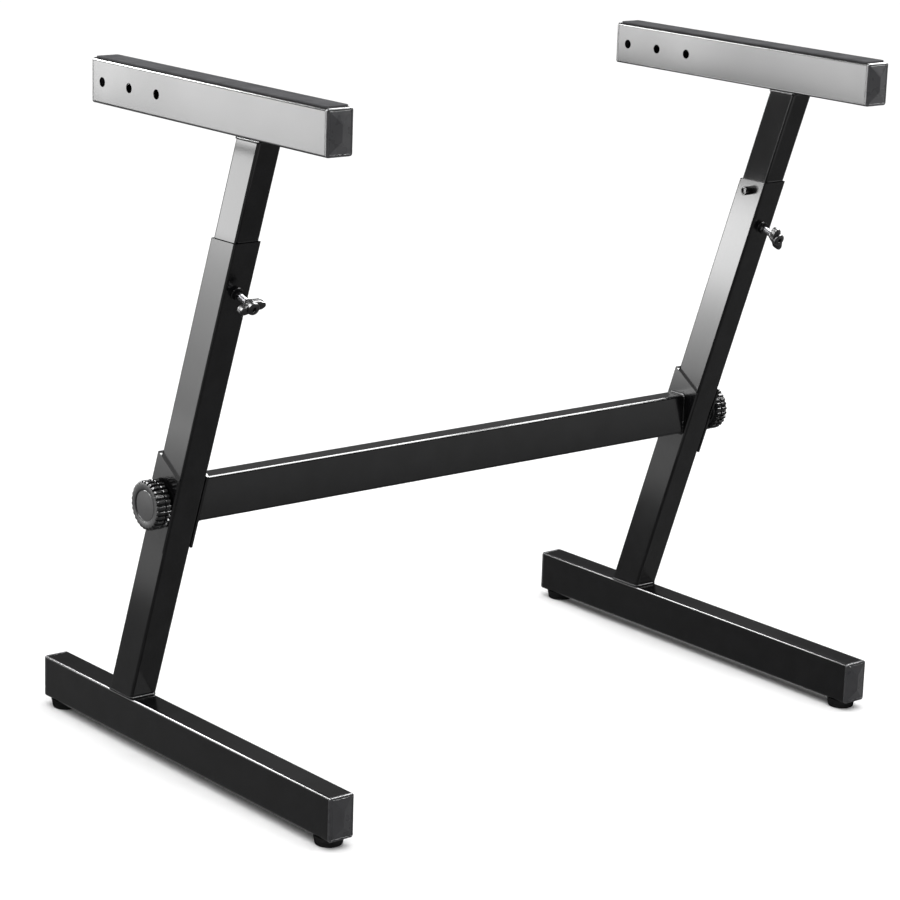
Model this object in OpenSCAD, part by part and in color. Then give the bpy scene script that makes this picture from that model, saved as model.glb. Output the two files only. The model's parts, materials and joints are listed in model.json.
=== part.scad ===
// Z-frame keyboard stand: two leaning end frames joined by a crossbar.
// Millimetres, +Z up, +X along the crossbar, -Y towards the front.
// Origin: on the floor, in the middle of the stand.

/* [Frame] */

// Distance between the centre planes of the two end frames
span = 780; // [600:5:1000]
// Lean of the legs towards the front, from the vertical, in degrees
lean = 19; // [0:0.5:25]
// Where a leg's centre line meets the floor plane, behind the middle of the foot
leg_root_y = 138; // [60:1:180]
// Height of the horizontal cut at the top of an outer leg tube
outer_top = 619; // [500:1:720]
// Height of the underside of an arm at the lowest setting
arm_bottom = 732; // [640:1:800]

/* [Feet] */

// Length of a foot over its end caps
foot_length = 572; // [400:2:700]
// Width of a foot tube
foot_w = 32; // [25:1:50]
// Height of a foot tube
foot_h = 50; // [30:1:70]
// Height of the rubber pads under a foot
pad_h = 10; // [5:0.5:20]
// Radius of a rubber pad at its top
pad_r = 17; // [12:0.5:20]
// Distance from a foot's end to the centre of its rubber pad
pad_inset = 26; // [20:1:60]

/* [Legs] */

// Width of an outer leg tube
leg_w = 34.5; // [25:0.5:50]
// Depth of an outer leg tube, front to back
leg_d = 43; // [30:0.5:60]
// Wall of an outer leg tube
leg_wall = 1.2; // [1:0.1:2]
// Width of an inner leg tube
inner_w = 30.6; // [20:0.1:45]
// Depth of an inner leg tube
inner_d = 39; // [25:0.1:55]
// Length of inner tube hidden in the outer tube at the lowest setting
inner_hidden = 215; // [150:1:240]
// Travel of an arm along its leg
travel = 120; // [60:30:120]
// Distance between two index holes
hole_pitch = 30; // [20:5:40]

/* [Arms] */

// Length of an arm over its end caps
arm_length = 440; // [300:2:500]
// Distance from the arm's front end to the centre line of the inner tube
arm_reach = 142; // [80:1:220]
// Width of an arm tube
arm_w = 33; // [20:1:40]
// Height of an arm tube
arm_h = 50; // [30:1:60]
// Radius of the three holes through each arm
arm_hole_r = 5.5; // [3:0.1:7]
// Distance from an arm's rear end to its first hole
arm_hole_first = 25; // [20:1:60]
// Distance between the holes
arm_hole_step = 53; // [30:1:70]
// Width of the rubber strip on an arm
strip_w = 29; // [20:1:30]
// Thickness of the rubber strip
strip_t = 2; // [1.5:0.5:5]
// Distance from an arm's end to the end of the rubber strip
strip_inset = 9; // [5:1:40]

/* [Crossbar] */

// Height of the middle of the crossbar
crossbar_z = 308; // [250:1:400]
// Height of the crossbar tube
crossbar_h = 50; // [30:1:60]
// Depth of the crossbar tube
crossbar_d = 25; // [20:1:40]
// Height of a bracket's side plates, along the leg
bracket_h = 94; // [70:1:130]
// Sheet thickness of a bracket
bracket_t = 3; // [2:0.5:4]
// How much lower a bracket's front edge sits than its rear edge
bracket_drop = 12; // [0:1:25]

/* [Knobs] */

// Radius of a lock knob
knob_r = 28.5; // [20:0.5:40]
// Thickness of a lock knob
knob_t = 20; // [12:0.5:25]
// Number of grooves round a lock knob
knob_grooves = 30; // [20:1:48]
// Distance from an outer tube's top to the clamp screw, along the leg
clamp_drop = 54; // [40:1:80]
// Turn of the left clamp handle's wings from level
wing_turn_left = 12; // [-90:1:90]
// Turn of the right clamp handle's wings from level
wing_turn_right = -62; // [-90:1:90]
// Distance from an outer tube's top to the index pin, along the leg
index_drop = 13; // [10:1:30]

/* [Hidden] */

$fn = 64;
wall = 1.5;              // wall of the foot, arm, inner and crossbar tubes
corner = 3;              // outside corner radius of the tubes
cap_lip = 4;             // thickness of an end cap's lip
cap_peak = 4;            // height of the ridge on an end cap's face
cap_plug = 10;           // depth of an end cap's plug in its tube
cap_gap = 0.1;           // gap round an end cap's plug
run_gap = 0.06;          // gap between a turning or sliding pin and its hole
bolt_r = 4;              // M8 bolts and screws
nut_r = 7.5;             // over the corners of an M8 nut
nut_t = 6.5;             // thickness of an M8 nut
washer_r = 8;
washer_t = 1.6;
spacer_r = 6.5;
screw_r = 2;             // screws of the rubber pads
screw_head_r = 4;
screw_head_t = 2.5;
pad_recess = 4;          // height of the screw head's seat above the floor
bush_len = 30;           // length of the guide bush in an outer tube
bush_t = 0.65;           // wall of the guide bush
plug_len = 12;           // depth of an inner tube's bottom plug
plug_foot = 4;           // thickness of the plug's wider glide
boss_r = 6.5;            // boss of the clamp screw
boss_len = 7;
clamp_reach = 27;        // leg face to the middle of the clamp handle
clamp_tip_gap = 0.2;     // clamp screw tip to inner tube
hub_r = 7.5;
hub_len = 15;
wing_r = 4.5;
wing_span = 12;          // hub centre to the centre of a wing's round end
wing_len = 9;
barrel_r = 5.2;          // barrel on the leg round an index pin
barrel_len = 10;
barrel_floor = 2.4;      // solid end of the barrel next to the leg
button_r = 3.44;         // button on the outer end of an index pin
button_t = 2;
button_skin = 0.8;       // button left closed over the pin's end
button_out = 8.5;        // leg face to the button's outer face, pin drawn clear
pin_r = 2.4;
pin_tip_gap = 0.2;       // drawn pin's tip to inner tube
index_hole_r = 2.9;

half = span / 2;
foot_top = pad_h + foot_h;
foot_tube = foot_length - 2 * (cap_lip + cap_peak);
arm_mid_z = arm_bottom + arm_h / 2;
arm_front_y = leg_y(arm_bottom) - arm_reach;
arm_rear_y = arm_front_y + arm_length;
arm_mid_y = (arm_front_y + arm_rear_y) / 2;
arm_tube = arm_length - 2 * (cap_lip + cap_peak);
leg_far = 900;           // longer than any leg, before it is trimmed
bolt_s = crossbar_z / cos(lean);
top_s = outer_top / cos(lean);
clamp_s = top_s - clamp_drop;
index_s = top_s - index_drop;
inner_low_s = top_s - inner_hidden;
bush_low_s = top_s - bush_len - leg_d / 2 * tan(lean);
plate_x = leg_w / 2 + cap_gap + bracket_t;   // outside of a bracket plate
crossbar_len = span - 2 * plate_x;

// Y of a leg's centre line at height z
function leg_y(z) = leg_root_y - z * tan(lean);

// ---- shapes that repeat ----

// Rounded rectangle, w along X and d along Y
module outline(w, d, r) {
  square([w - 2 * r, d], center = true);
  square([w, d - 2 * r], center = true);
  for (sx = [-1, 1], sy = [-1, 1])
    translate([sx * (w / 2 - r), sy * (d / 2 - r)]) circle(r);
}

// Hollow tube along +Z
module tube(w, d, t, len) {
  linear_extrude(len) difference() {
    outline(w, d, corner);
    outline(w - 2 * t, d - 2 * t, corner - t);
  }
}

// Turns a shape along +Z into one along +Y, keeping X; its +Y goes to -Z
module along_y() {
  rotate([-90, 0, 0]) children();
}

// Turns a shape along +Z into one along +X
module along_x() {
  rotate([0, 90, 0]) children();
}

// End frame coordinates: side is -1 on the left and 1 on the right
module at_side(side) {
  translate([side * half, 0, 0]) children();
}

// Leg coordinates: Z runs up the leg's centre line, -Y out of its front face
module on_leg(side, s = 0) {
  at_side(side) translate([0, leg_root_y, 0]) rotate([lean, 0, 0]) translate([0, 0, s]) children();
}

// Points -Z of the children's frame towards the middle of the stand
module facing_in(side) {
  mirror([side < 0 ? 1 : 0, 0, 0]) rotate([0, 90, 0]) children();
}

// End cap along +Z: plug below zero, lip and hipped face above, d longer than w
module end_cap(w, d) {
  plug_w = w - 2 * wall - 2 * cap_gap;
  plug_d = d - 2 * wall - 2 * cap_gap;
  translate([0, 0, -cap_plug]) linear_extrude(cap_plug) difference() {
    outline(plug_w, plug_d, corner - wall);
    outline(plug_w - 3, plug_d - 3, 1);
  }
  linear_extrude(cap_lip) outline(w, d, corner);
  hull() {
    translate([0, 0, cap_lip - 0.01]) linear_extrude(0.01) square([w - 3, d - 3], center = true);
    translate([0, 0, cap_lip + cap_peak - 0.01]) linear_extrude(0.01)
      square([0.02, d - w], center = true);
  }
}

// ---- feet ----

module foot_tube(side) {
  color([0.03, 0.03, 0.035]) difference() {
    at_side(side) translate([0, -foot_tube / 2, pad_h + foot_h / 2])
      along_y() tube(foot_w, foot_h, wall, foot_tube);
    for (end = [-1, 1])
      at_side(side) translate([0, end * (foot_length / 2 - pad_inset), pad_h - 1])
        cylinder(r = screw_r + cap_gap, h = wall + 2);
  }
}

module foot_cap(side, end) {
  color([0.06, 0.06, 0.065]) at_side(side) mirror([0, end < 0 ? 1 : 0, 0])
    translate([0, foot_tube / 2, pad_h + foot_h / 2]) along_y() end_cap(foot_w, foot_h);
}

module floor_pad(side, end) {
  color([0.05, 0.05, 0.05]) at_side(side)
    translate([0, end * (foot_length / 2 - pad_inset), 0]) difference() {
      union() {
        cylinder(r1 = pad_r - 2, r2 = pad_r - 1.5, h = 2);
        translate([0, 0, 2]) cylinder(r1 = pad_r - 1.5, r2 = pad_r, h = pad_h - 2);
      }
      translate([0, 0, -1]) cylinder(r = screw_head_r + 1, h = pad_recess + 1);
      cylinder(r = screw_r + cap_gap, h = pad_h + 1);
    }
}

module floor_pad_screws() {
  color([0.55, 0.55, 0.57]) for (side = [-1, 1], end = [-1, 1])
    at_side(side) translate([0, end * (foot_length / 2 - pad_inset), 0]) {
      translate([0, 0, pad_recess - screw_head_t]) cylinder(r = screw_head_r, h = screw_head_t);
      translate([0, 0, pad_recess - 0.5]) cylinder(r = screw_r, h = pad_h + wall + 2 - pad_recess);
    }
}

// ---- legs ----

module leg_tube(side) {
  color([0.03, 0.03, 0.035]) difference() {
    intersection() {
      on_leg(side) tube(leg_w, leg_d, leg_wall, leg_far);
      at_side(side) translate([-leg_w, -leg_far / 2, foot_top])
        cube([2 * leg_w, leg_far, outer_top - foot_top]);
    }
    on_leg(side, bolt_s) along_x()
      cylinder(r = bolt_r + run_gap, h = 2 * leg_w, center = true);
    on_leg(side, clamp_s) rotate([90, 0, 0])
      cylinder(r = bolt_r + run_gap, h = leg_d);
    on_leg(side, index_s) facing_in(side) translate([0, 0, -leg_w])
      cylinder(r = pin_r + run_gap, h = leg_w);
  }
}

module guide_bush(side) {
  color([0.09, 0.09, 0.09]) difference() {
    on_leg(side, bush_low_s) linear_extrude(bush_len) difference() {
      outline(leg_w - 2 * leg_wall - 0.1, leg_d - 2 * leg_wall - 0.1, corner - leg_wall);
      outline(leg_w - 2 * (leg_wall + bush_t) - 0.1, leg_d - 2 * (leg_wall + bush_t) - 0.1, 1);
    }
    on_leg(side, index_s) facing_in(side) translate([0, 0, -leg_w])
      cylinder(r = index_hole_r, h = leg_w);
  }
}

module bracket(side) {
  front = -leg_d / 2;
  rear = leg_d / 2 + cap_gap + bracket_t;
  low = -bracket_h / 2;
  high = bracket_h / 2;
  tilt = bracket_drop / 2;
  color([0.03, 0.03, 0.035]) difference() {
    on_leg(side, bolt_s) {
      for (x = [-plate_x, plate_x - bracket_t])
        translate([x, 0, 0]) rotate([90, 0, 90]) linear_extrude(bracket_t)
          polygon([[front, low - tilt], [rear, low + tilt], [rear, high + tilt], [front, high - tilt]]);
      translate([-plate_x, rear - bracket_t, low + tilt]) cube([2 * plate_x, bracket_t, bracket_h]);
    }
    on_leg(side, bolt_s) along_x()
      cylinder(r = bolt_r + run_gap, h = 3 * leg_w, center = true);
  }
}

module crossbar() {
  color([0.03, 0.03, 0.035]) translate([-crossbar_len / 2, leg_y(crossbar_z), crossbar_z])
    rotate([90, 0, 90]) tube(crossbar_d, crossbar_h, wall, crossbar_len);
}

module leg_spacers() {
  color([0.5, 0.5, 0.52]) for (side = [-1, 1])
    on_leg(side, bolt_s) along_x() difference() {
      cylinder(r = spacer_r, h = leg_w - 2 * leg_wall - cap_gap, center = true);
      cylinder(r = bolt_r + run_gap, h = leg_w, center = true);
    }
}

module bracket_nuts() {
  color([0.5, 0.5, 0.52]) for (side = [-1, 1])
    on_leg(side, bolt_s) facing_in(side) translate([0, 0, -plate_x - nut_t]) difference() {
      cylinder(r = nut_r, h = nut_t, $fn = 6);
      translate([0, 0, -1]) cylinder(r = bolt_r + run_gap, h = nut_t + 2);
    }
}

// ---- lock knobs ----

module knob(side) {
  skirt = 3;
  grip = knob_t - skirt;
  color([0.05, 0.05, 0.055]) on_leg(side, bolt_s) facing_in(side)
    translate([0, 0, plate_x + washer_t + 0.1]) difference() {
      union() {
        cylinder(r = knob_r - 5, h = skirt);
        translate([0, 0, skirt]) cylinder(r = knob_r - 0.5, h = grip - 1.5);
        translate([0, 0, knob_t - 1.5]) cylinder(r1 = knob_r - 0.5, r2 = knob_r - 2, h = 1.5);
      }
      for (i = [0 : knob_grooves - 1])
        rotate(i * 360 / knob_grooves) translate([knob_r + 0.4, 0, skirt - 1])
          cylinder(r = 1.9, h = grip + 2, $fn = 24);
      translate([0, 0, knob_t - 2]) cylinder(r1 = knob_r - 9, r2 = knob_r - 6, h = 2.1);
      translate([0, 0, -1]) cylinder(r = bolt_r, h = knob_t - 4);
    }
}

module knob_bolt(side) {
  color([0.5, 0.5, 0.52]) on_leg(side, bolt_s) facing_in(side)
    translate([0, 0, -plate_x - nut_t - 3])
      cylinder(r = bolt_r, h = 2 * plate_x + nut_t + 3 + washer_t + knob_t - 6);
}

module knob_washer(side) {
  color([0.55, 0.55, 0.57]) on_leg(side, bolt_s) facing_in(side)
    translate([0, 0, plate_x + 0.05]) difference() {
      cylinder(r = washer_r, h = washer_t);
      translate([0, 0, -1]) cylinder(r = bolt_r, h = washer_t + 2);
    }
}

// ---- clamp screws: children along +Z leave the leg's front face at zero ----

module on_front(side) {
  on_leg(side, clamp_s) translate([0, -leg_d / 2, 0]) rotate([90, 0, 0]) children();
}

module clamp_boss(side) {
  color([0.03, 0.03, 0.035]) on_front(side) difference() {
    cylinder(r = boss_r, h = boss_len);
    translate([0, 0, -1]) cylinder(r = bolt_r + run_gap, h = boss_len + 2);
  }
}

module clamp_screw(side) {
  inside = (leg_d - inner_d) / 2 - clamp_tip_gap;
  color([0.3, 0.3, 0.31]) on_front(side) translate([0, 0, -inside])
    cylinder(r = bolt_r, h = inside + clamp_reach);
}

module clamp_handle(side) {
  color([0.05, 0.05, 0.055]) on_front(side) difference() {
    union() {
      translate([0, 0, clamp_reach - hub_len / 2]) cylinder(r = hub_r, h = hub_len);
      rotate(side < 0 ? wing_turn_left : wing_turn_right) for (way = [-1, 1]) hull() {
        translate([0, 0, clamp_reach - wing_len / 2]) cylinder(r = wing_r - 1, h = wing_len, $fn = 32);
        translate([way * wing_span, 0, clamp_reach - wing_len / 2 + 2])
          cylinder(r = wing_r, h = wing_len, $fn = 32);
      }
    }
    translate([0, 0, clamp_reach - hub_len]) cylinder(r = bolt_r, h = hub_len);
    translate([0, 0, clamp_reach + hub_len / 2 - 1.5]) cylinder(r = hub_r - 2.5, h = 2);
  }
}

// ---- index pins: children along -Z leave the leg's inward face at zero ----

module on_inside(side) {
  on_leg(side, index_s) facing_in(side) translate([0, 0, -leg_w / 2]) children();
}

module index_barrel(side) {
  color([0.03, 0.03, 0.035]) on_inside(side) translate([0, 0, -barrel_len]) difference() {
    cylinder(r = barrel_r, h = barrel_len);
    translate([0, 0, -1]) cylinder(r = button_r + run_gap, h = barrel_len - barrel_floor + 1);
    cylinder(r = pin_r + run_gap, h = barrel_len + 1);
  }
}

module index_pin(side) {
  inside = (leg_w - inner_w) / 2 - pin_tip_gap;
  color([0.5, 0.5, 0.52]) on_inside(side) translate([0, 0, button_skin - button_out])
    cylinder(r = pin_r, h = button_out - button_skin + inside);
}

module index_button(side) {
  color([0.04, 0.04, 0.045]) on_inside(side) translate([0, 0, -button_out]) difference() {
    cylinder(r = button_r, h = button_t);
    translate([0, 0, button_skin]) cylinder(r = pin_r, h = button_t);
  }
}

// ---- sliding upper frames ----

module inner_tube(side) {
  color([0.03, 0.03, 0.035]) difference() {
    intersection() {
      on_leg(side, inner_low_s) tube(inner_w, inner_d, wall, leg_far);
      at_side(side) translate([-leg_w, -leg_far / 2, 0]) cube([2 * leg_w, leg_far, arm_bottom]);
    }
    for (down = [0 : hole_pitch : travel])
      on_leg(side, index_s - down) facing_in(side) translate([0, 0, -leg_w])
        cylinder(r = index_hole_r, h = leg_w);
  }
}

module inner_plug(side) {
  color([0.09, 0.09, 0.09]) on_leg(side, inner_low_s) {
    translate([0, 0, -plug_foot]) linear_extrude(plug_foot)
      outline(leg_w - 2 * leg_wall - 0.6, leg_d - 2 * leg_wall - 0.6, corner - leg_wall);
    linear_extrude(plug_len) difference() {
      outline(inner_w - 2 * wall - 2 * cap_gap, inner_d - 2 * wall - 2 * cap_gap, corner - wall);
      outline(inner_w - 2 * wall - 4, inner_d - 2 * wall - 4, 1);
    }
  }
}

module arm_tube(side) {
  color([0.03, 0.03, 0.035]) at_side(side) difference() {
    translate([0, arm_mid_y - arm_tube / 2, arm_mid_z])
      along_y() tube(arm_w, arm_h, wall, arm_tube);
    for (i = [0 : 2])
      translate([0, arm_rear_y - arm_hole_first - i * arm_hole_step, arm_mid_z])
        along_x() cylinder(r = arm_hole_r, h = 2 * arm_w, center = true);
  }
}

module arm_cap(side, end) {
  color([0.06, 0.06, 0.065]) at_side(side) translate([0, arm_mid_y, arm_mid_z])
    mirror([0, end < 0 ? 1 : 0, 0]) translate([0, arm_tube / 2, 0])
      along_y() end_cap(arm_w, arm_h);
}

module arm_strip(side) {
  color([0.32, 0.32, 0.33]) at_side(side) translate([0, arm_mid_y, arm_bottom + arm_h])
    linear_extrude(strip_t) outline(strip_w, arm_length - 2 * strip_inset, 3);
}

foot_tube(-1);  // foot_tube_left
foot_tube(1);  // foot_tube_right
foot_cap(-1, -1);  // foot_cap_front_left
foot_cap(1, -1);  // foot_cap_front_right
foot_cap(-1, 1);  // foot_cap_rear_left
foot_cap(1, 1);  // foot_cap_rear_right
floor_pad(-1, -1);  // floor_pad_front_left
floor_pad(1, -1);  // floor_pad_front_right
floor_pad(-1, 1);  // floor_pad_rear_left
floor_pad(1, 1);  // floor_pad_rear_right
floor_pad_screws();
leg_tube(-1);  // leg_tube_left
leg_tube(1);  // leg_tube_right
guide_bush(-1);  // guide_bush_left
guide_bush(1);  // guide_bush_right
bracket(-1);  // bracket_left
bracket(1);  // bracket_right
crossbar();
leg_spacers();
bracket_nuts();
knob(-1);  // knob_left
knob(1);  // knob_right
knob_bolt(-1);  // knob_bolt_left
knob_bolt(1);  // knob_bolt_right
knob_washer(-1);  // knob_washer_left
knob_washer(1);  // knob_washer_right
clamp_boss(-1);  // clamp_boss_left
clamp_boss(1);  // clamp_boss_right
clamp_screw(-1);  // clamp_screw_left
clamp_screw(1);  // clamp_screw_right
clamp_handle(-1);  // clamp_handle_left
clamp_handle(1);  // clamp_handle_right
index_barrel(-1);  // index_barrel_left
index_barrel(1);  // index_barrel_right
index_pin(-1);  // index_pin_left
index_pin(1);  // index_pin_right
index_button(-1);  // index_button_left
index_button(1);  // index_button_right
inner_tube(-1);  // inner_tube_left
inner_tube(1);  // inner_tube_right
inner_plug(-1);  // inner_plug_left
inner_plug(1);  // inner_plug_right
arm_tube(-1);  // arm_tube_left
arm_tube(1);  // arm_tube_right
arm_cap(-1, -1);  // arm_cap_front_left
arm_cap(1, -1);  // arm_cap_front_right
arm_cap(-1, 1);  // arm_cap_rear_left
arm_cap(1, 1);  // arm_cap_rear_right
arm_strip(-1);  // arm_strip_left
arm_strip(1);  // arm_strip_right
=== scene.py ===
"""Z-frame keyboard stand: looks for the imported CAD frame. Metres, in the CAD's own frame."""
import json
import math

import bmesh
import bpy
from mathutils import Matrix, Quaternion, Vector


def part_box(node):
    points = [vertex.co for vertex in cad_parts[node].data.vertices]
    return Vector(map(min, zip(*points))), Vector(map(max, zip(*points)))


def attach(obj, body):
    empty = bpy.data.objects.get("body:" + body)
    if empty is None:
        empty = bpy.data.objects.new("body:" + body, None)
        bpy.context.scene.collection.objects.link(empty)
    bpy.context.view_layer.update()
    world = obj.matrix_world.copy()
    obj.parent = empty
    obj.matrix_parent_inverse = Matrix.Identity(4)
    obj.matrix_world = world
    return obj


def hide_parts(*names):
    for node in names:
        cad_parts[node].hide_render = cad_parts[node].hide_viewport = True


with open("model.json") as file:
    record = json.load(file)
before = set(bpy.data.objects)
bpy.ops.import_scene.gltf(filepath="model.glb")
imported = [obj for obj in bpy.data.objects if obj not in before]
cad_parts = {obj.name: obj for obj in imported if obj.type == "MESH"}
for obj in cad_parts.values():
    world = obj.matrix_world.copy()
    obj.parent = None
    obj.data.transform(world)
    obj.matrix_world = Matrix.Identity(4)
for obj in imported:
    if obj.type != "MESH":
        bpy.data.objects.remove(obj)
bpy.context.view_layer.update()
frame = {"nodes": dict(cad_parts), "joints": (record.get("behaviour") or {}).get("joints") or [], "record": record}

NODES = frame["nodes"]
JOINTS = {joint["name"]: joint for joint in frame["joints"]}
SLOT_OF = {part["node"]: part["material_slot"] for part in frame["record"]["subparts"]}
SIDES = {"left": -1, "right": 1}
MM = 0.001

# Sizes repeated from the CAD, in metres
LEG_WIDTH = 34.5 * MM
LEG_DEPTH = 43 * MM
BRACKET_SHEET = 3 * MM
WASHER = 1.6 * MM
CAP_LIP = 4 * MM
CAP_PEAK = 4 * MM
CAP_PLUG = 10 * MM
CORNER = 3 * MM
INNER_DEPTH = 39 * MM
CLAMP_REACH = 27 * MM
BARREL_FLOOR = 2.4 * MM
PIN_BORE = 2.46 * MM
RUN_GAP = 0.06 * MM

# Specular levels
PAINT_SHINE = 0.14
PLASTIC_SHINE = 0.16

# Turns of the clamp handles on their screws, in degrees
HANDLE_TURNS = {"left": 12, "right": -62}

# Camera: what it looks at, and from where
CAMERA_AIM = Vector((-0.015, 0.013, 0.317))
CAMERA_AZIMUTH = math.radians(-39.6)
CAMERA_ELEVATION = math.radians(14.7)
CAMERA_ROLL = math.radians(1.9)
CAMERA_DISTANCE = 3.56
CAMERA_LENS = 120.9
CAMERA_BACK = Vector((math.sin(CAMERA_AZIMUTH) * math.cos(CAMERA_ELEVATION),
                      -math.cos(CAMERA_AZIMUTH) * math.cos(CAMERA_ELEVATION),
                      math.sin(CAMERA_ELEVATION)))
CAMERA_PLACE = CAMERA_AIM + CAMERA_BACK * CAMERA_DISTANCE


# ---------------------------------------------------------------- meshes

def finish_piece(name, bm, body, slot, replaces=(), sharp_angle=35):
    """Turns a bmesh into a smooth-shaded piece that rides on a body."""
    bmesh.ops.remove_doubles(bm, verts=bm.verts, dist=1e-6)
    bmesh.ops.recalc_face_normals(bm, faces=bm.faces)
    mesh = bpy.data.meshes.new(name)
    bm.to_mesh(mesh)
    bm.free()
    for polygon in mesh.polygons:
        polygon.use_smooth = True
    mesh.set_sharp_from_angle(angle=math.radians(sharp_angle))
    piece = bpy.data.objects.new(name, mesh)
    bpy.context.scene.collection.objects.link(piece)
    piece.data.materials.append(MATERIALS[slot])
    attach(piece, body)
    if replaces:
        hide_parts(*replaces)
    return piece


def place(origin, out, up=(0, 0, 1)):
    """Matrix whose +Z points along out and whose +X lies as near level as up allows."""
    z = Vector(out).normalized()
    x = Vector(up).cross(z)
    if x.length < 1e-6:
        x = Vector((1, 0, 0))
    x.normalize()
    y = z.cross(x)
    return Matrix.Translation(Vector(origin)) @ Matrix((x, y, z)).transposed().to_4x4()


def loft(bm, rings, matrix, close_start=True, close_end=True):
    """Skins rings of equal point counts, each a list of (x, y, z), placed by matrix."""
    made = [[bm.verts.new(matrix @ Vector(point)) for point in ring] for ring in rings]
    for low, high in zip(made, made[1:]):
        for i in range(len(low)):
            j = (i + 1) % len(low)
            bm.faces.new((low[i], low[j], high[j], high[i]))
    if close_start:
        bm.faces.new(list(reversed(made[0])))
    if close_end:
        bm.faces.new(made[-1])
    return made


def circle(radius, z, count=64):
    """A ring of points round Z."""
    turn = 2 * math.pi / count
    return [(radius * math.cos(i * turn), radius * math.sin(i * turn), z) for i in range(count)]


def lathe(bm, profile, matrix, count=64):
    """Revolves (radius, z) pairs round Z. The ends close flat."""
    loft(bm, [circle(max(radius, 1e-5), z, count) for radius, z in profile], matrix)


def rounded_rectangle(width, height, radius, z, steps=6):
    """A ring of points round a rectangle with round corners, in the XY plane."""
    points = []
    for quarter, (sx, sy) in enumerate(((1, 1), (-1, 1), (-1, -1), (1, -1))):
        cx, cy = sx * (width / 2 - radius), sy * (height / 2 - radius)
        for step in range(steps + 1):
            angle = math.pi / 2 * (quarter + step / steps)
            points.append((cx + radius * math.cos(angle), cy + radius * math.sin(angle), z))
    return points


def node_box(node):
    """Centre and size of a CAD node's box."""
    low, high = (Vector(corner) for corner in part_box(node))
    return (low + high) / 2, high - low


# ---------------------------------------------------------------- materials

def new_material(name, colour, roughness, specular=0.5, metallic=0.0):
    """A Principled material and its shader."""
    material = bpy.data.materials.new(name)
    material.use_nodes = True
    shader = material.node_tree.nodes["Principled BSDF"]
    shader.inputs["Base Color"].default_value = (*colour, 1)
    shader.inputs["Roughness"].default_value = roughness
    shader.inputs["Metallic"].default_value = metallic
    shader.inputs["Specular IOR Level"].default_value = specular
    return material, shader


def texture(material, kind, scale, **settings):
    """A procedural texture on object coordinates, with scale in features per metre."""
    nodes, links = material.node_tree.nodes, material.node_tree.links
    coordinates = nodes.new("ShaderNodeTexCoord")
    node = nodes.new(kind)
    node.inputs["Scale"].default_value = scale
    for name, value in settings.items():
        node.inputs[name].default_value = value
    links.new(coordinates.outputs["Object"], node.inputs["Vector"])
    return node


def vary(material, source, low, high, target, start=0.3, end=0.7):
    """Drives a number socket between low and high with a texture's output."""
    nodes, links = material.node_tree.nodes, material.node_tree.links
    scale = nodes.new("ShaderNodeMapRange")
    scale.inputs["From Min"].default_value = start
    scale.inputs["From Max"].default_value = end
    scale.inputs["To Min"].default_value = low
    scale.inputs["To Max"].default_value = high
    links.new(source, scale.inputs["Value"])
    links.new(scale.outputs["Result"], target)


def tint(material, source, dark, light, target, start=0.35, end=0.65):
    """Drives a colour socket between two colours with a texture's output."""
    nodes, links = material.node_tree.nodes, material.node_tree.links
    ramp = nodes.new("ShaderNodeValToRGB")
    ramp.color_ramp.elements[0].position = start
    ramp.color_ramp.elements[0].color = (*dark, 1)
    ramp.color_ramp.elements[1].position = end
    ramp.color_ramp.elements[1].color = (*light, 1)
    links.new(source, ramp.inputs["Fac"])
    links.new(ramp.outputs["Color"], target)


def bump(material, shader, source, height, strength=1.0):
    """Adds a bump of that height in metres, after any bump already there."""
    nodes, links = material.node_tree.nodes, material.node_tree.links
    node = nodes.new("ShaderNodeBump")
    node.inputs["Strength"].default_value = strength
    node.inputs["Distance"].default_value = height
    before = shader.inputs["Normal"].links
    if before:
        links.new(before[0].from_socket, node.inputs["Normal"])
    links.new(source, node.inputs["Height"])
    links.new(node.outputs["Normal"], shader.inputs["Normal"])


def black_paint(name, smoothest, roughest):
    """Glossy black powder coat: faint orange peel, a little uneven gloss."""
    material, shader = new_material(name, (0.003, 0.003, 0.0033), roughest, PAINT_SHINE)
    peel = texture(material, "ShaderNodeTexNoise", 420, Detail=2.0)
    bump(material, shader, peel.outputs["Fac"], 0.000008, 0.3)
    gloss = texture(material, "ShaderNodeTexNoise", 9, Detail=2.0)
    vary(material, gloss.outputs["Fac"], smoothest, roughest, shader.inputs["Roughness"])
    shade = texture(material, "ShaderNodeTexNoise", 40, Detail=4.0)
    tint(material, shade.outputs["Fac"], (0.002, 0.002, 0.0022), (0.004, 0.004, 0.0044),
         shader.inputs["Base Color"])
    return material


def moulded_plastic(name, colour, roughness, grain):
    """Moulded black plastic with a fine even grain."""
    material, shader = new_material(name, colour, roughness, PLASTIC_SHINE)
    pores = texture(material, "ShaderNodeTexVoronoi", 2600)
    bump(material, shader, pores.outputs["Distance"], grain, 0.25)
    flow = texture(material, "ShaderNodeTexNoise", 70, Detail=2.0)
    vary(material, flow.outputs["Fac"], roughness - 0.02, roughness + 0.04, shader.inputs["Roughness"])
    light = tuple(channel * 1.15 for channel in colour)
    tint(material, flow.outputs["Fac"], colour, light, shader.inputs["Base Color"])
    return material


def rubber(name, dark, light, grain_scale, grain_height):
    """Matte rubber with a pebbled surface."""
    material, shader = new_material(name, dark, 0.8, 0.0)
    pebbles = texture(material, "ShaderNodeTexVoronoi", grain_scale)
    bump(material, shader, pebbles.outputs["Distance"], grain_height, 0.8)
    fine = texture(material, "ShaderNodeTexNoise", grain_scale * 3, Detail=3.0)
    bump(material, shader, fine.outputs["Fac"], grain_height / 3, 0.5)
    patches = texture(material, "ShaderNodeTexNoise", 35, Detail=6.0)
    tint(material, patches.outputs["Fac"], dark, light, shader.inputs["Base Color"])
    vary(material, fine.outputs["Fac"], 0.7, 0.92, shader.inputs["Roughness"])
    return material


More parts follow.
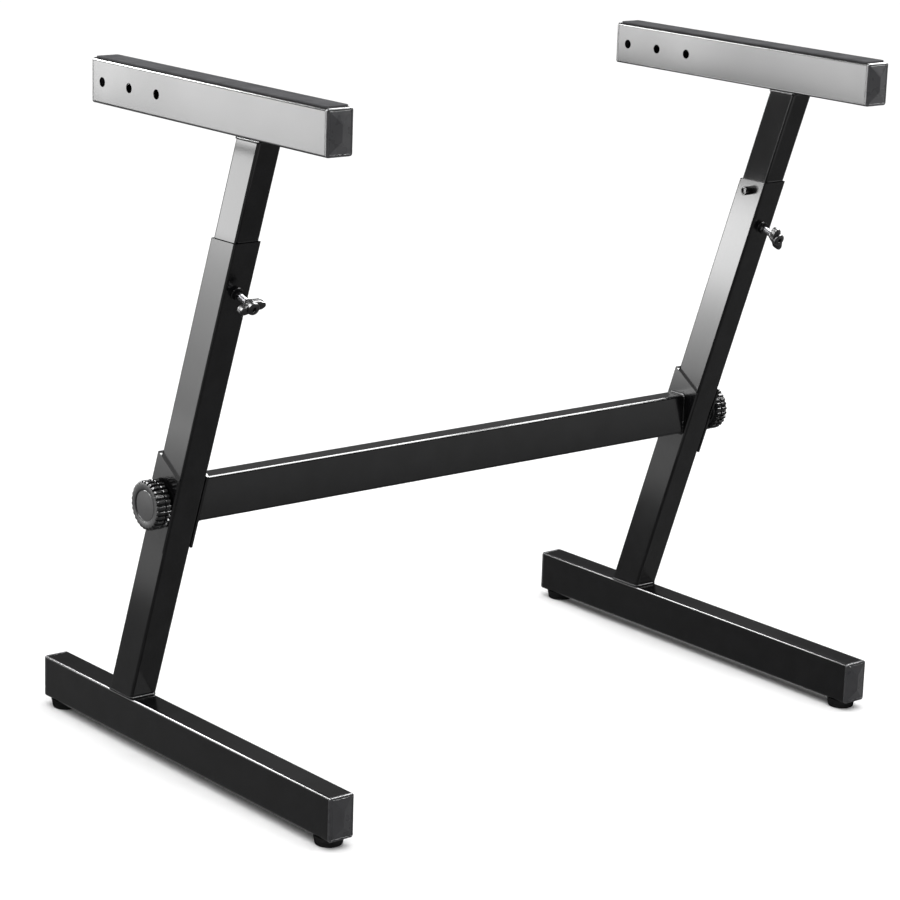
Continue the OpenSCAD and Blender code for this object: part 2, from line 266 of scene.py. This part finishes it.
def steel(name, dark, light, roughness):
    """Turned or plated steel with faint blotches."""
    material, shader = new_material(name, dark, roughness, 0.5, 1.0)
    blotch = texture(material, "ShaderNodeTexNoise", 260, Detail=6.0)
    tint(material, blotch.outputs["Fac"], dark, light, shader.inputs["Base Color"])
    vary(material, blotch.outputs["Fac"], roughness - 0.08, roughness + 0.12, shader.inputs["Roughness"])
    bump(material, shader, blotch.outputs["Fac"], 0.00002, 0.4)
    return material


MATERIALS = {
    "black_paint": black_paint("black_paint", 0.16, 0.2),
    "sliding_tube_paint": black_paint("sliding_tube_paint", 0.05, 0.07),
    "cap_plastic": moulded_plastic("cap_plastic", (0.03, 0.03, 0.032), 0.28, 0.00001),
    "knob_plastic": moulded_plastic("knob_plastic", (0.005, 0.005, 0.0055), 0.3, 0.00001),
    "glide_plastic": moulded_plastic("glide_plastic", (0.02, 0.02, 0.02), 0.5, 0.00001),
    "pad_rubber": rubber("pad_rubber", (0.01, 0.01, 0.01), (0.02, 0.02, 0.02), 1500, 0.00005),
    "strip_rubber": rubber("strip_rubber", (0.075, 0.075, 0.078), (0.1, 0.1, 0.104), 900, 0.00004),
    "dark_steel": steel("dark_steel", (0.02, 0.02, 0.021), (0.05, 0.05, 0.052), 0.3),
    "zinc_steel": steel("zinc_steel", (0.42, 0.42, 0.43), (0.62, 0.62, 0.64), 0.32),
}


def soften(node, width):
    """Breaks a CAD node's crisp edges so that they catch the light."""
    rounding = NODES[node].modifiers.new("soft_edges", "BEVEL")
    rounding.width = width
    rounding.segments = 1
    rounding.limit_method = "ANGLE"
    rounding.angle_limit = math.radians(40)
    rounding.use_clamp_overlap = True


def dress_cad_nodes():
    """Gives every CAD node the material of its slot. The sliding tubes' paint is smoother."""
    for name, node in NODES.items():
        finish = "sliding_tube_paint" if name.startswith("inner_tube") else SLOT_OF[name]
        material = MATERIALS[finish]
        if not node.material_slots:
            node.data.materials.append(material)
        for place_for in node.material_slots:
            place_for.material = material
    for side in SIDES:
        soften(f"bracket_{side}", 0.8 * MM)
        soften(f"leg_tube_{side}", 0.35 * MM)


# ---------------------------------------------------------------- end caps

def end_cap(node, body, way):
    """Plastic end cap: plug, lip with rounded edges, and a face of four slopes up to a ridge."""
    centre, size = node_box(node)
    width, height = size.x, size.z
    outer_y = centre.y + way * size.y / 2
    matrix = place((centre.x, outer_y - way * (CAP_LIP + CAP_PEAK), centre.z), (0, way, 0))
    bm = bmesh.new()
    rings = []
    plug_w, plug_h = width - 3.4 * MM, height - 3.4 * MM
    rings.append(rounded_rectangle(plug_w - 1 * MM, plug_h - 1 * MM, 1 * MM, -CAP_PLUG))
    rings.append(rounded_rectangle(plug_w, plug_h, 1.4 * MM, -CAP_PLUG + 2 * MM))
    rings.append(rounded_rectangle(plug_w, plug_h, 1.4 * MM, 0))
    rings.append(rounded_rectangle(width - 0.6 * MM, height - 0.6 * MM, CORNER, 0))
    rings.append(rounded_rectangle(width, height, CORNER, 0.4 * MM))
    edge = 1.6 * MM
    for step in range(5):
        angle = math.pi / 2 * step / 4
        inset = edge * (1 - math.cos(angle))
        rise = CAP_LIP - edge + edge * math.sin(angle)
        rings.append(rounded_rectangle(width - 2 * inset, height - 2 * inset, CORNER - inset / 2, rise))
    rings.append(rounded_rectangle(width - 5 * MM, height - 5 * MM, 0.8 * MM, CAP_LIP))
    rings.append(rounded_rectangle(width - 5.6 * MM, height - 5.6 * MM, 0.6 * MM, CAP_LIP - 0.3 * MM))
    base = rounded_rectangle(width - 6.2 * MM, height - 6.2 * MM, 0.4 * MM, CAP_LIP)
    rings.append(base)
    ridge = (height - width) / 2
    for share in (0.94, 1.0):
        rings.append([(x * (1 - share), y + (max(-ridge, min(ridge, y)) - y) * share,
                       CAP_LIP + (CAP_PEAK - 0.2 * MM) * share) for x, y, _ in base])
    loft(bm, rings, matrix, close_end=False)
    finish_piece(node + "_moulded", bm, body, "cap_plastic", [node], sharp_angle=7)


def make_end_caps():
    """Caps for both ends of each foot and arm."""
    for side in SIDES:
        for end, way in (("front", -1), ("rear", 1)):
            end_cap(f"foot_cap_{end}_{side}", "base", way)
            end_cap(f"arm_cap_{end}_{side}", f"upper_{side}", way)


# ---------------------------------------------------------------- rubber

def floor_pad(node):
    """Tapered rubber foot with a rounded tread, a groove and a recess for its screw."""
    centre, size = node_box(node)
    radius, height = size.x / 2, size.z
    recess, seat = 5 * MM, 4 * MM
    profile = [
        (2.1 * MM, seat), (recess - 0.3 * MM, seat), (recess, seat - 0.3 * MM), (recess, 0.5 * MM),
        (recess + 0.5 * MM, 0), (radius - 3 * MM, 0), (radius - 2.2 * MM, 0.3 * MM),
        (radius - 1.7 * MM, 1.2 * MM), (radius - 1.3 * MM, 3.2 * MM), (radius - 1.8 * MM, 3.8 * MM),
        (radius - 1.8 * MM, 4.4 * MM), (radius - 1 * MM, 5 * MM), (radius - 0.3 * MM, height - 1 * MM),
        (radius, height - 0.6 * MM), (radius - 0.2 * MM, height), (2.1 * MM, height),
    ]
    bm = bmesh.new()
    matrix = Matrix.Translation((centre.x, centre.y, 0))
    rings = [circle(r, z, 72) for r, z in profile]
    loft(bm, rings + rings[:1], matrix, close_start=False, close_end=False)
    finish_piece(node + "_moulded", bm, "base", "pad_rubber", [node], sharp_angle=50)


def arm_strip(side):
    """Thin anti-slip rubber strip with rounded corners, soft edges and fine lengthwise ribs."""
    node = f"arm_strip_{side}"
    centre, size = node_box(node)
    base = centre.z - size.z / 2
    soft = 0.6 * MM
    rings = [rounded_rectangle(size.x, size.y, 3 * MM, 0)]
    for step in range(5):
        angle = math.pi / 2 * step / 4
        inset = soft * (1 - math.cos(angle))
        rings.append(rounded_rectangle(size.x - 2 * inset, size.y - 2 * inset, 3 * MM - inset,
                                       size.z - soft * (1 - math.sin(angle))))
    for inset, drop in ((2.2, 0), (2.5, 0.3), (2.9, 0.3), (3.2, 0), (5.2, 0), (5.5, 0.3), (5.9, 0.3), (6.2, 0),
                        (8.2, 0), (8.5, 0.3), (8.9, 0.3), (9.2, 0)):
        rings.append(rounded_rectangle(size.x - 2 * inset * MM, size.y - 2 * inset * MM, 0.9 * MM,
                                       size.z - drop * MM))
    bm = bmesh.new()
    loft(bm, rings, Matrix.Translation((centre.x, centre.y, base)))
    strip = finish_piece(node + "_pad", bm, f"upper_{side}", "strip_rubber", [node], sharp_angle=50)


# ---------------------------------------------------------------- knobs and screws

def lock_knob(side):
    """Big lock knob: two rows of blocky teeth, a chamfered rim and a plain disc on its face."""
    node = f"knob_{side}"
    joint = JOINTS[f"knob_{side}_turn"]
    out = Vector(joint["axis"])
    _, size = node_box(node)
    radius, thick = size.z / 2, size.x
    start = LEG_WIDTH / 2 + BRACKET_SHEET + WASHER + 0.2 * MM
    matrix = place(Vector(joint["pos_m"]) + out * start, out)
    teeth, per_tooth = 28, 12
    profile = [  # radius inset, height, share of the tooth depth
        (18 * MM, 0, 0), (8 * MM, 0, 0), (6 * MM, 0.5 * MM, 0), (5.4 * MM, 2.2 * MM, 0),
        (3.4 * MM, 2.4 * MM, 0.4), (0.9 * MM, 2.6 * MM, 1), (0, 3.4 * MM, 1), (0, 8 * MM, 1),
        (0.6 * MM, 8.6 * MM, 0.9), (2.2 * MM, 9 * MM, 0.3), (2.2 * MM, 9.8 * MM, 0.3),
        (0.6 * MM, 10.2 * MM, 0.9), (0, 10.8 * MM, 1), (0, thick - 2.2 * MM, 1),
        (0.4 * MM, thick - 1.5 * MM, 0.9),
        (1.5 * MM, thick - 0.6 * MM, 0.6), (2.6 * MM, thick - 0.1 * MM, 0.25), (3.6 * MM, thick, 0),
        (9.2 * MM, thick, 0), (9.8 * MM, thick - 0.3 * MM, 0), (10.2 * MM, thick - 1.1 * MM, 0),
        (10.8 * MM, thick - 1.2 * MM, 0), (11.2 * MM, thick - 0.9 * MM, 0), (18 * MM, thick - 0.6 * MM, 0),
        (radius - 0.2 * MM, thick - 0.5 * MM, 0),
    ]
    depth = 2.8 * MM
    rings = []
    for inset, z, share in profile:
        ring = []
        for i in range(teeth * per_tooth):
            wave = 0.5 - 0.5 * math.cos(2 * math.pi * (i % per_tooth) / per_tooth)
            crest = min(1.0, max(0.0, (wave - 0.12) * 2.2))
            angle = 2 * math.pi * i / (teeth * per_tooth)
            reach = max(radius - inset - depth * share * (1 - crest), 0.1 * MM)
            ring.append((reach * math.cos(angle), reach * math.sin(angle), z))
        rings.append(ring)
    bm = bmesh.new()
    loft(bm, rings, matrix)
    finish_piece(node + "_grip", bm, node, "knob_plastic", [node], sharp_angle=28)


def clamp_handle(side):
    """Two-winged clamp handle: one lofted body with soft edges, a neck and a dimple."""
    node = f"clamp_handle_{side}"
    joint = JOINTS[f"clamp_{side}_turn"]
    out = Vector(joint["axis"])
    leg_face = Vector(joint["pos_m"]) + out * (LEG_DEPTH / 2)
    turn = Matrix.Rotation(math.radians(HANDLE_TURNS[side]), 4, "Z")
    matrix = place(leg_face + out * CLAMP_REACH, out) @ turn
    half, hub, wing = 4.2 * MM, 7.2 * MM, 16.3 * MM
    count = 96

    def ring(inset, z):
        """The handle's outline at height z, drawn in by inset."""
        points = []
        for i in range(count):
            angle = 2 * math.pi * i / count
            lobe = abs(math.cos(angle)) ** 7
            reach = hub + (wing - hub) * lobe
            bulge = 1.0 + 0.1 * math.sin(2 * angle)
            scale = (reach - inset) * bulge if lobe < 0.5 else reach - inset
            points.append((scale * math.cos(angle), scale * math.sin(angle), z + 1.8 * MM * lobe))
        return points

    soft = 1.8 * MM
    rings = []
    for step in range(6):
        angle = math.pi / 2 * step / 5
        rings.append(ring(soft * (1 - math.sin(angle)), -half + soft * (1 - math.cos(angle))))
    for step in range(6):
        angle = math.pi / 2 * step / 5
        rings.append(ring(soft * (1 - math.cos(angle)), half - soft * (1 - math.sin(angle))))
    bm = bmesh.new()
    loft(bm, rings, matrix)
    neck = [
        (4.6 * MM, -7.5 * MM), (5.2 * MM, -7.2 * MM), (5.6 * MM, -4 * MM), (hub, -1 * MM), (hub, 6 * MM),
        (hub - 0.4 * MM, 6.9 * MM), (hub - 1.2 * MM, 7.4 * MM), (hub - 4.4 * MM, 7.4 * MM),
        (hub - 4.8 * MM, 7 * MM), (hub - 5.2 * MM, 4.9 * MM), (0.2 * MM, 4.7 * MM),
    ]
    lathe(bm, neck, matrix, 48)
    finish_piece(node + "_wings", bm, f"clamp_{side}", "knob_plastic", [node], sharp_angle=40)


def clamp_thread(side):
    """The clamp's M8 screw with its thread's crests and roots."""
    node = f"clamp_screw_{side}"
    joint = JOINTS[f"clamp_{side}_turn"]
    out = Vector(joint["axis"])
    matrix = place(Vector(joint["pos_m"]), out)
    start, end = LEG_DEPTH / 2 - 1.8 * MM, LEG_DEPTH / 2 + CLAMP_REACH
    pitch, crest, root = 1.25 * MM, 4 * MM, 3.45 * MM
    profile = [(root - 0.6 * MM, start), (root, start + 0.5 * MM)]
    z = start + 0.8 * MM
    while z < end - 8 * MM:
        profile += [(root, z), (crest, z + 0.45 * pitch), (crest, z + 0.6 * pitch), (root, z + 0.98 * pitch)]
        z += pitch
    profile += [(root, z), (crest - 0.1 * MM, z + 0.5 * MM), (crest - 0.1 * MM, end - 2 * MM),
                (1 * MM, end - 1.9 * MM)]
    bm = bmesh.new()
    lathe(bm, profile, matrix, 40)
    finish_piece(node + "_thread", bm, f"clamp_{side}", "dark_steel", [node], sharp_angle=50)


def index_barrel(side):
    """Barrel round the index pin, chamfered at its open end."""
    inward = Vector((-SIDES[side], 0, 0))
    node = f"index_barrel_{side}"
    centre, size = node_box(node)
    radius, length = size.y / 2, size.x
    bore = node_box(f"index_button_{side}")[1].y / 2 + RUN_GAP
    profile = [
        (PIN_BORE, 0), (radius, 0), (radius, length - 0.8 * MM), (radius - 0.2 * MM, length - 0.3 * MM),
        (radius - 0.7 * MM, length), (bore + 0.3 * MM, length), (bore, length - 0.3 * MM),
        (bore, BARREL_FLOOR), (PIN_BORE, BARREL_FLOOR),
    ]
    bm = bmesh.new()
    rings = [circle(r, z, 56) for r, z in profile]
    matrix = place(centre - inward * length / 2, inward)
    loft(bm, rings + rings[:1], matrix, close_start=False, close_end=False)
    finish_piece(node + "_turned", bm, "base", "black_paint", [node], sharp_angle=40)


def index_button(side):
    """Button on the index pin, with a shallow recess in its face."""
    inward = Vector((-SIDES[side], 0, 0))
    node = f"index_button_{side}"
    centre, size = node_box(node)
    radius, length = size.y / 2, size.x
    profile = [
        (2.3 * MM, 0.1 * MM), (radius - 0.3 * MM, 0), (radius, 0.3 * MM), (radius, length - 0.4 * MM),
        (radius - 0.4 * MM, length), (radius - 0.9 * MM, length - 0.1 * MM),
        (radius - 1.1 * MM, length - 0.5 * MM), (0.2 * MM, length - 0.55 * MM),
    ]
    bm = bmesh.new()
    lathe(bm, profile, place(centre - inward * length / 2, inward), 48)
    finish_piece(node + "_turned", bm, f"index_{side}", "knob_plastic", [node], sharp_angle=40)


# ---------------------------------------------------------------- weld beads

def weld_bead(name, path, radius, body, closed=True, ripple=2.2 * MM):
    """A rippled weld bead along a path of points, painted with the frame."""
    points = []
    corners = path + path[:1] if closed else path
    for start, end in zip(corners, corners[1:]):
        start, end = Vector(start), Vector(end)
        steps = max(2, int((end - start).length / (ripple / 4)))
        points += [start.lerp(end, i / steps) for i in range(steps)]
    if not closed:
        points.append(Vector(corners[-1]))
    rings = []
    travelled = 0.0
    for i, point in enumerate(points):
        before = points[i - 1] if closed or i else point
        after = points[(i + 1) % len(points)] if closed or i + 1 < len(points) else point
        if i:
            travelled += (point - points[i - 1]).length
        wave = 0.5 + 0.5 * math.cos(2 * math.pi * travelled / ripple)
        size = radius * (0.82 + 0.18 * wave)
        matrix = place(point, (after - before))
        rings.append([tuple(matrix @ Vector(p)) for p in circle(size, 0, 10)])
    bm = bmesh.new()
    if closed:
        loft(bm, rings + rings[:1], Matrix.Identity(4), close_start=False, close_end=False)
    else:
        loft(bm, rings, Matrix.Identity(4))
    finish_piece(name, bm, body, "black_paint", sharp_angle=60)


def rectangle_path(centre, half_a, half_b, axis_a, axis_b, corner=2.5 * MM):
    """Corners of a rectangle with cut corners, spanned by two axes."""
    a, b = Vector(axis_a), Vector(axis_b)
    inner_a, inner_b = half_a - corner, half_b - corner
    signs = ((inner_a, half_b), (-inner_a, half_b), (-half_a, inner_b), (-half_a, -inner_b),
             (-inner_a, -half_b), (inner_a, -half_b), (half_a, -inner_b), (half_a, inner_b))
    return [tuple(Vector(centre) + a * u + b * v) for u, v in signs]


def ring_path(centre, radius, out, count=28):
    """Points round a circle that faces out."""
    matrix = place(centre, out)
    return [tuple(matrix @ Vector(point)) for point in circle(radius, 0, count)]


def make_welds():
    """Beads where each leg meets its foot, each arm its inner tube, and the bar and bosses their plates."""
    for side in SIDES:
        slope = Vector(JOINTS[f"height_{side}"]["axis"])
        run = slope.y / slope.z
        knob_at = Vector(JOINTS[f"knob_{side}_turn"]["pos_m"])
        foot_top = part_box(f"foot_tube_{side}")[1][2]
        at_foot = Vector((knob_at.x, knob_at.y + run * (foot_top - knob_at.z), foot_top))
        foot_width = node_box(f"foot_tube_{side}")[1].x
        level_depth = LEG_DEPTH / slope.z
        weld_bead(f"weld_foot_{side}", rectangle_path(
            at_foot + Vector((0, 0, 0.6 * MM)), foot_width / 2 - 0.5 * MM, level_depth / 2 + 0.6 * MM,
            (1, 0, 0), (0, 1, 0)), 2.3 * MM, "base")
        arm_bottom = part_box(f"arm_tube_{side}")[0][2]
        at_arm = Vector((knob_at.x, knob_at.y + run * (arm_bottom - knob_at.z), arm_bottom))
        inner_width = node_box(f"inner_tube_{side}")[1].x
        inner_depth = INNER_DEPTH / slope.z
        weld_bead(f"weld_arm_{side}", rectangle_path(
            at_arm - Vector((0, 0, 0.6 * MM)), inner_width / 2 + 0.2 * MM, inner_depth / 2 + 0.4 * MM,
            (1, 0, 0), (0, 1, 0)), 1.7 * MM, f"upper_{side}")
        centre, size = node_box("crossbar")
        end_x = centre.x + SIDES[side] * (size.x / 2 - 0.6 * MM)
        weld_bead(f"weld_crossbar_{side}", rectangle_path(
            (end_x, centre.y, centre.z), size.y / 2 + 0.2 * MM, size.z / 2 + 0.2 * MM,
            (0, 1, 0), (0, 0, 1)), 1.9 * MM, "base")
        clamp = JOINTS[f"clamp_{side}_turn"]
        face = Vector(clamp["pos_m"]) + Vector(clamp["axis"]) * (LEG_DEPTH / 2 + 0.4 * MM)
        weld_bead(f"weld_boss_{side}", ring_path(face, 6.7 * MM, clamp["axis"]), 1.1 * MM, "base")


# ---------------------------------------------------------------- studio

def area_light(name, centre, target, width, height, radiance):
    """A rectangular soft light. radiance is its brightness where white is 1."""
    data = bpy.data.lights.new(name, "AREA")
    data.shape = "RECTANGLE"
    data.size, data.size_y = width, height
    data.energy = radiance * math.pi * width * height
    lamp = bpy.data.objects.new(name, data)
    bpy.context.scene.collection.objects.link(lamp)
    lamp.location = centre
    facing = Vector(target) - Vector(centre)
    lamp.rotation_mode = "QUATERNION"
    lamp.rotation_quaternion = facing.to_track_quat("-Z", "Y")
    lamp.visible_camera = False
    return lamp


def brightness_ramp(nodes, links, share, stops, glow):
    """Makes a shader's glow follow stops of (share, brightness)."""
    ramp = nodes.new("ShaderNodeValToRGB")
    brightest = max(brightness for _, brightness in stops)
    for i, (place_at, brightness) in enumerate(stops):
        element = ramp.color_ramp.elements[i] if i < 2 else ramp.color_ramp.elements.new(place_at)
        element.position = place_at
        element.color = (*[brightness / brightest] * 3, 1)
    links.new(share, ramp.inputs["Fac"])
    links.new(ramp.outputs["Color"], glow.inputs["Color"])
    glow.inputs["Strength"].default_value = brightest


def mirrored_height(height, surface_x, card_x):
    """Height on a card at which an upright side face shows the camera that card at a given height."""
    image_x = 2 * surface_x - CAMERA_PLACE.x
    share = (card_x - image_x) / (surface_x - image_x)
    return CAMERA_PLACE.z + (height - CAMERA_PLACE.z) * share


def side_card(name, side, x, y_range, stops):
    """A light facing +X that only glossy paint sees. stops are (height on that side's leg, brightness)."""
    surface_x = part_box(f"leg_tube_{side}")[0][0]
    stops = [(mirrored_height(height, surface_x, x), brightness) for height, brightness in stops]
    bottom, top = stops[0][0], stops[-1][0]
    width, height = y_range[1] - y_range[0], top - bottom
    centre = (x, (y_range[0] + y_range[1]) / 2, (bottom + top) / 2)
    lamp = area_light(name, centre, (x + 1, centre[1], centre[2]), width, height, 1.0)
    lamp.visible_diffuse = False
    data = lamp.data
    data.use_nodes = True
    nodes, links = data.node_tree.nodes, data.node_tree.links
    spot = nodes.new("ShaderNodeNewGeometry")
    split = nodes.new("ShaderNodeSeparateXYZ")
    links.new(spot.outputs["Parametric"], split.inputs["Vector"])
    shares = [((z - bottom) / height, brightness) for z, brightness in stops]
    brightness_ramp(nodes, links, split.outputs["Y"], shares, nodes["Emission"])


def mirror_card(name, corner, along, across, brightness):
    """A flat glowing card that only glossy paint sees."""
    corner, along, across = Vector(corner), Vector(along), Vector(across)
    mesh = bpy.data.meshes.new(name)
    mesh.from_pydata([corner, corner + along, corner + along + across, corner + across], [], [(0, 1, 2, 3)])
    card = bpy.data.objects.new(name, mesh)
    bpy.context.scene.collection.objects.link(card)
    material, shader = new_material(name, (0, 0, 0), 1.0, 0.0)
    shader.inputs["Emission Color"].default_value = (1, 1, 1, 1)
    shader.inputs["Emission Strength"].default_value = brightness
    mesh.materials.append(material)
    for ray in ("camera", "diffuse", "transmission", "shadow"):
        setattr(card, "visible_" + ray, False)


def make_world():
    """White studio for the eye; for light, bright overhead and dim near the horizon."""
    world = bpy.data.worlds.new("studio")
    bpy.context.scene.world = world
    world.use_nodes = True
    nodes, links = world.node_tree.nodes, world.node_tree.links
    nodes.clear()
    coordinates = nodes.new("ShaderNodeTexCoord")
    split = nodes.new("ShaderNodeSeparateXYZ")
    height = nodes.new("ShaderNodeMapRange")
    height.interpolation_type = "SMOOTHSTEP"
    height.inputs["From Min"].default_value = 0.3
    height.inputs["From Max"].default_value = 0.75
    height.inputs["To Min"].default_value = 0.12
    height.inputs["To Max"].default_value = 1.5
    light = nodes.new("ShaderNodeBackground")
    seen = nodes.new("ShaderNodeBackground")
    seen.inputs["Strength"].default_value = 1.0
    path = nodes.new("ShaderNodeLightPath")
    mix = nodes.new("ShaderNodeMixShader")
    output = nodes.new("ShaderNodeOutputWorld")
    light.inputs["Color"].default_value = (1, 1, 1, 1)
    seen.inputs["Color"].default_value = (1, 1, 1, 1)
    links.new(coordinates.outputs["Generated"], split.inputs["Vector"])
    links.new(split.outputs["Z"], height.inputs["Value"])
    links.new(height.outputs["Result"], light.inputs["Strength"])
    links.new(path.outputs["Is Camera Ray"], mix.inputs["Fac"])
    links.new(light.outputs["Background"], mix.inputs[1])
    links.new(seen.outputs["Background"], mix.inputs[2])
    links.new(mix.outputs["Shader"], output.inputs["Surface"])


def make_floor():
    """Large pale matte floor."""
    bm = bmesh.new()
    bmesh.ops.create_grid(bm, x_segments=1, y_segments=1, size=30)
    mesh = bpy.data.meshes.new("floor")
    bm.to_mesh(mesh)
    bm.free()
    floor = bpy.data.objects.new("floor", mesh)
    bpy.context.scene.collection.objects.link(floor)
    material, _ = new_material("pale_floor", (0.93, 0.93, 0.93), 0.9, 0.0)
    mesh.materials.append(material)


def make_lights():
    """Soft top light, and the cards that the glossy paint mirrors. The cards never show themselves."""
    area_light("top_softbox", (0.2, -0.3, 3.2), (0, 0, 0.3), 3.0, 3.0, 1.6)
    side_card("left_leg_card", "left", -1.3, (0.85, 1.42),
              ((0.407, 4.8), (0.5, 6.9), (0.611, 11.5), (0.625, 18.5), (0.718, 18.5)))
    side_card("left_arm_card", "left", -1.3, (0.7, 1.9), ((0.725, 23), (0.872, 23)))
    side_card("left_low_card", "left", -0.75, (0.25, 0.85),
              ((0.198, 1.9), (0.266, 1.9), (0.275, 1.0), (0.345, 1.0), (0.355, 1.7), (0.384, 2.8), (0.41, 4.8)))
    side_card("right_arm_front_card", "right", -0.1, (0.06, 0.5), ((0.738, 17), (0.831, 17)))
    side_card("right_arm_rear_card", "right", -0.1, (0.5, 0.95), ((0.738, 27), (0.831, 27)))
    side_card("right_leg_card", "right", -0.1, (0.25, 0.8),
              ((0.192, 3.2), (0.261, 3.6), (0.27, 2.2), (0.345, 2.2), (0.358, 11), (0.41, 14), (0.45, 20),
               (0.497, 39), (0.611, 46)))
    mirror_card("near_floor_card", (-1.0, -0.8, 0.002), (2.4, 0, 0), (0, 2.1, 0), 0.55)
    mirror_card("front_floor_card", (-0.4, -2.0, 0.002), (2.6, 0, 0), (0, 1.2, 0), 2.0)
    mirror_card("rear_card", (0.3, 1.3, 0.69), (1.6, 0, 0), (0, 0, 0.13), 0.42)
    mirror_card("rear_edge_light", (-1.6, 1.75, 1.1), (0.85, 0, 0), (0, 0.25, 0.75), 140)
    mirror_card("left_edge_light", (-2.5, -0.6, 1.6), (1.3, 0, 1.0), (0, 1.6, 0), 85)
    mirror_card("right_edge_light", (0.3, -1.3, 2.5), (1.4, 0, -1.0), (0, 1.9, 0), 75)


def make_camera():
    """Long lens from the front left, a little above the stand."""
    data = bpy.data.cameras.new("camera")
    data.sensor_width = 36
    data.lens = CAMERA_LENS
    camera = bpy.data.objects.new("camera", data)
    bpy.context.scene.collection.objects.link(camera)
    camera.location = CAMERA_PLACE
    camera.rotation_mode = "QUATERNION"
    roll = Quaternion((0, 0, 1), CAMERA_ROLL)
    camera.rotation_quaternion = (-CAMERA_BACK).to_track_quat("-Z", "Y") @ roll
    data.clip_start, data.clip_end = 0.05, 100
    bpy.context.scene.camera = camera


# ---------------------------------------------------------------- the stand

dress_cad_nodes()
make_end_caps()
for pad in [name for name in NODES if name.startswith("floor_pad_") and name != "floor_pad_screws"]:
    floor_pad(pad)
for which in SIDES:
    arm_strip(which)
    lock_knob(which)
    clamp_thread(which)
    index_barrel(which)
    index_button(which)
for which in SIDES:
    clamp_handle(which)
make_welds()
make_world()
make_floor()
make_lights()
make_camera()
bpy.context.scene.view_settings.view_transform = "Standard"
